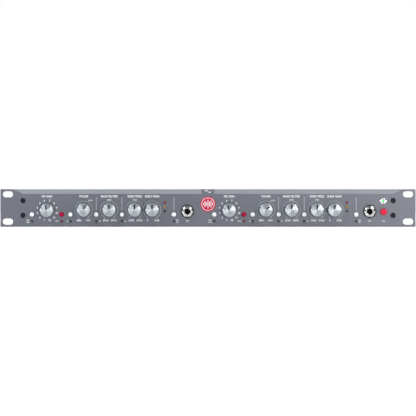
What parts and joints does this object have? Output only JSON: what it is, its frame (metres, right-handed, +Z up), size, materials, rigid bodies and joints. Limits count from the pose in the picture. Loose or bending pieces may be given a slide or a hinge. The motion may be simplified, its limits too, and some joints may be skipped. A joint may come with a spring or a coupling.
{
  "type": "microphone preamp",
  "caption": "Rack-mount microphone preamp one unit high, with turned knobs, push buttons and instrument jacks on a grey front panel.",
  "frame": {"origin": "centre of the rack slot pattern on the front panel's rear face", "axes": "+X to the right seen from the front, +Y towards the back, +Z up"},
  "size_m": [0.4826, 0.2345, 0.0436],
  "materials": {
    "panel_finish": "satin grey anodised, fine grain",
    "case_paint": "fine black powder coat",
    "black_steel": "black oxide",
    "badge": "gloss enamel",
    "chrome": "polished",
    "lit_green_lamp": "translucent lens",
    "green_lamp": "translucent lens",
    "red_lamp": "translucent lens",
    "amber_lamp": "translucent lens",
    "jack_plastic": "moulded nylon",
    "control_body": "moulded",
    "circuit_board": "solder mask",
    "brass": "turned",
    "capacitor_sleeve": "shrink sleeve",
    "transformer_wrap": "tape over copper and a steel core",
    "clamp_steel": "zinc plated",
    "cable_grey": "ribbon cable",
    "connector_metal": "black cast shell",
    "inlet_plastic": "moulded nylon",
    "latch_metal": "satin nickel",
    "red_button": "moulded",
    "crimson_button": "moulded",
    "spun_aluminium": "turned, satin",
    "white_button": "moulded"
  },
  "bodies": {
    "case": {"front_panel": "panel_finish", "bottom_plate": "case_paint", "left_side": "case_paint", "right_side": "case_paint", "rear_panel": "case_paint", "top_cover": "case_paint", "panel_screws": "black_steel", "chassis_screws": "black_steel", "front_badge": "badge", "power_led_bezel": "chrome", "power_led": "lit_green_lamp", "green_leds": "green_lamp", "red_leds": "red_lamp", "amber_leds": "amber_lamp", "front_jacks": "jack_plastic", "rear_jacks": "jack_plastic", "front_jack_washers": "jack_plastic", "jack_nuts": "chrome", "potentiometers": "control_body", "gain_switches": "control_body", "control_nuts": "chrome", "push_switches": "control_body", "control_board": "circuit_board", "main_board": "circuit_board", "power_board": "circuit_board", "board_standoffs": "brass", "board_capacitors": "capacitor_sleeve", "mains_transformer": "transformer_wrap", "transformer_clamp": "clamp_steel", "internal_cables": "cable_grey", "mic_input_sockets": "connector_metal", "line_output_plugs": "connector_metal", "connector_screws": "black_steel", "mains_inlet": "inlet_plastic"},
    "gain_knob_1": {"gain_knob_1": "spun_aluminium"},
    "gain_knob_2": {"gain_knob_2": "spun_aluminium"},
    "output_knob_1": {"output_knob_1": "spun_aluminium"},
    "output_knob_2": {"output_knob_2": "spun_aluminium"},
    "low_cut_knob_1": {"low_cut_knob_1": "spun_aluminium"},
    "low_cut_knob_2": {"low_cut_knob_2": "spun_aluminium"},
    "eq_freq_knob_1": {"eq_freq_knob_1": "spun_aluminium"},
    "eq_freq_knob_2": {"eq_freq_knob_2": "spun_aluminium"},
    "eq_gain_knob_1": {"eq_gain_knob_1": "spun_aluminium"},
    "eq_gain_knob_2": {"eq_gain_knob_2": "spun_aluminium"},
    "white_button_1_1": {"white_button_1_1": "white_button"},
    "white_button_1_2": {"white_button_1_2": "white_button"},
    "white_button_1_3": {"white_button_1_3": "white_button"},
    "white_button_1_4": {"white_button_1_4": "white_button"},
    "white_button_1_5": {"white_button_1_5": "white_button"},
    "white_button_2_1": {"white_button_2_1": "white_button"},
    "white_button_2_2": {"white_button_2_2": "white_button"},
    "white_button_2_3": {"white_button_2_3": "white_button"},
    "white_button_2_4": {"white_button_2_4": "white_button"},
    "white_button_2_5": {"white_button_2_5": "white_button"},
    "phantom_button_1": {"phantom_button_1": "crimson_button"},
    "phantom_button_2": {"phantom_button_2": "crimson_button"},
    "power_button": {"power_button": "red_button"},
    "mic_input_latch_1": {"mic_input_latch_1": "latch_metal"},
    "mic_input_latch_2": {"mic_input_latch_2": "latch_metal"},
    "fuse_drawer": {"fuse_drawer": "inlet_plastic"}
  },
  "joints": [
    {"name": "gain_knob_1_turn", "type": "hinge", "parent": "case", "child": "gain_knob_1", "pos_m": [-0.1871, 0, -0.0026], "axis": [0, 1, 0], "range_deg": [-150, 180]},
    {"name": "gain_knob_2_turn", "type": "hinge", "parent": "case", "child": "gain_knob_2", "pos_m": [0.0247, 0, -0.0026], "axis": [0, 1, 0], "range_deg": [-150, 180]},
    {"name": "output_knob_1_turn", "type": "hinge", "parent": "case", "child": "output_knob_1", "pos_m": [-0.1445, 0, -0.0021], "axis": [0, 1, 0], "range_deg": [-178, 122]},
    {"name": "output_knob_2_turn", "type": "hinge", "parent": "case", "child": "output_knob_2", "pos_m": [0.0673, 0, -0.0021], "axis": [0, 1, 0], "range_deg": [-197, 103]},
    {"name": "low_cut_knob_1_turn", "type": "hinge", "parent": "case", "child": "low_cut_knob_1", "pos_m": [-0.1148, 0, -0.0021], "axis": [0, 1, 0], "range_deg": [-150, 150]},
    {"name": "low_cut_knob_2_turn", "type": "hinge", "parent": "case", "child": "low_cut_knob_2", "pos_m": [0.097, 0, -0.0021], "axis": [0, 1, 0], "range_deg": [-150, 150]},
    {"name": "eq_freq_knob_1_turn", "type": "hinge", "parent": "case", "child": "eq_freq_knob_1", "pos_m": [-0.0852, 0, -0.0021], "axis": [0, 1, 0], "range_deg": [-150, 150]},
    {"name": "eq_freq_knob_2_turn", "type": "hinge", "parent": "case", "child": "eq_freq_knob_2", "pos_m": [0.1266, 0, -0.0021], "axis": [0, 1, 0], "range_deg": [-150, 150]},
    {"name": "eq_gain_knob_1_turn", "type": "hinge", "parent": "case", "child": "eq_gain_knob_1", "pos_m": [-0.0649, 0, -0.0021], "axis": [0, 1, 0], "range_deg": [-150, 150]},
    {"name": "eq_gain_knob_2_turn", "type": "hinge", "parent": "case", "child": "eq_gain_knob_2", "pos_m": [0.1469, 0, -0.0021], "axis": [0, 1, 0], "range_deg": [-150, 150]},
    {"name": "white_button_1_1_press", "type": "slide", "parent": "case", "child": "white_button_1_1", "axis": [0, 1, 0], "range_m": [0, 0.002], "stiffness_N_per_m": 400},
    {"name": "white_button_1_2_press", "type": "slide", "parent": "case", "child": "white_button_1_2", "axis": [0, 1, 0], "range_m": [0, 0.002], "stiffness_N_per_m": 400},
    {"name": "white_button_1_3_press", "type": "slide", "parent": "case", "child": "white_button_1_3", "axis": [0, 1, 0], "range_m": [0, 0.002], "stiffness_N_per_m": 400},
    {"name": "white_button_1_4_press", "type": "slide", "parent": "case", "child": "white_button_1_4", "axis": [0, 1, 0], "range_m": [0, 0.002], "stiffness_N_per_m": 400},
    {"name": "white_button_1_5_press", "type": "slide", "parent": "case", "child": "white_button_1_5", "axis": [0, 1, 0], "range_m": [0, 0.002], "stiffness_N_per_m": 400},
    {"name": "white_button_2_1_press", "type": "slide", "parent": "case", "child": "white_button_2_1", "axis": [0, 1, 0], "range_m": [0, 0.002], "stiffness_N_per_m": 400},
    {"name": "white_button_2_2_press", "type": "slide", "parent": "case", "child": "white_button_2_2", "axis": [0, 1, 0], "range_m": [0, 0.002], "stiffness_N_per_m": 400},
    {"name": "white_button_2_3_press", "type": "slide", "parent": "case", "child": "white_button_2_3", "axis": [0, 1, 0], "range_m": [0, 0.002], "stiffness_N_per_m": 400},
    {"name": "white_button_2_4_press", "type": "slide", "parent": "case", "child": "white_button_2_4", "axis": [0, 1, 0], "range_m": [0, 0.002], "stiffness_N_per_m": 400},
    {"name": "white_button_2_5_press", "type": "slide", "parent": "case", "child": "white_button_2_5", "axis": [0, 1, 0], "range_m": [0, 0.002], "stiffness_N_per_m": 400},
    {"name": "phantom_button_1_press", "type": "slide", "parent": "case", "child": "phantom_button_1", "axis": [0, 1, 0], "range_m": [0, 0.002], "stiffness_N_per_m": 400},
    {"name": "phantom_button_2_press", "type": "slide", "parent": "case", "child": "phantom_button_2", "axis": [0, 1, 0], "range_m": [0, 0.002], "stiffness_N_per_m": 400},
    {"name": "power_button_press", "type": "slide", "parent": "case", "child": "power_button", "axis": [0, 1, 0], "range_m": [0, 0.0025], "stiffness_N_per_m": 500},
    {"name": "mic_input_latch_1_press", "type": "slide", "parent": "case", "child": "mic_input_latch_1", "axis": [0, -1, 0], "range_m": [0, 0.0015], "stiffness_N_per_m": 800},
    {"name": "mic_input_latch_2_press", "type": "slide", "parent": "case", "child": "mic_input_latch_2", "axis": [0, -1, 0], "range_m": [0, 0.0015], "stiffness_N_per_m": 800},
    {"name": "fuse_drawer_pull", "type": "slide", "parent": "case", "child": "fuse_drawer", "axis": [0, 1, 0], "range_m": [0, 0.02]}
  ]
}
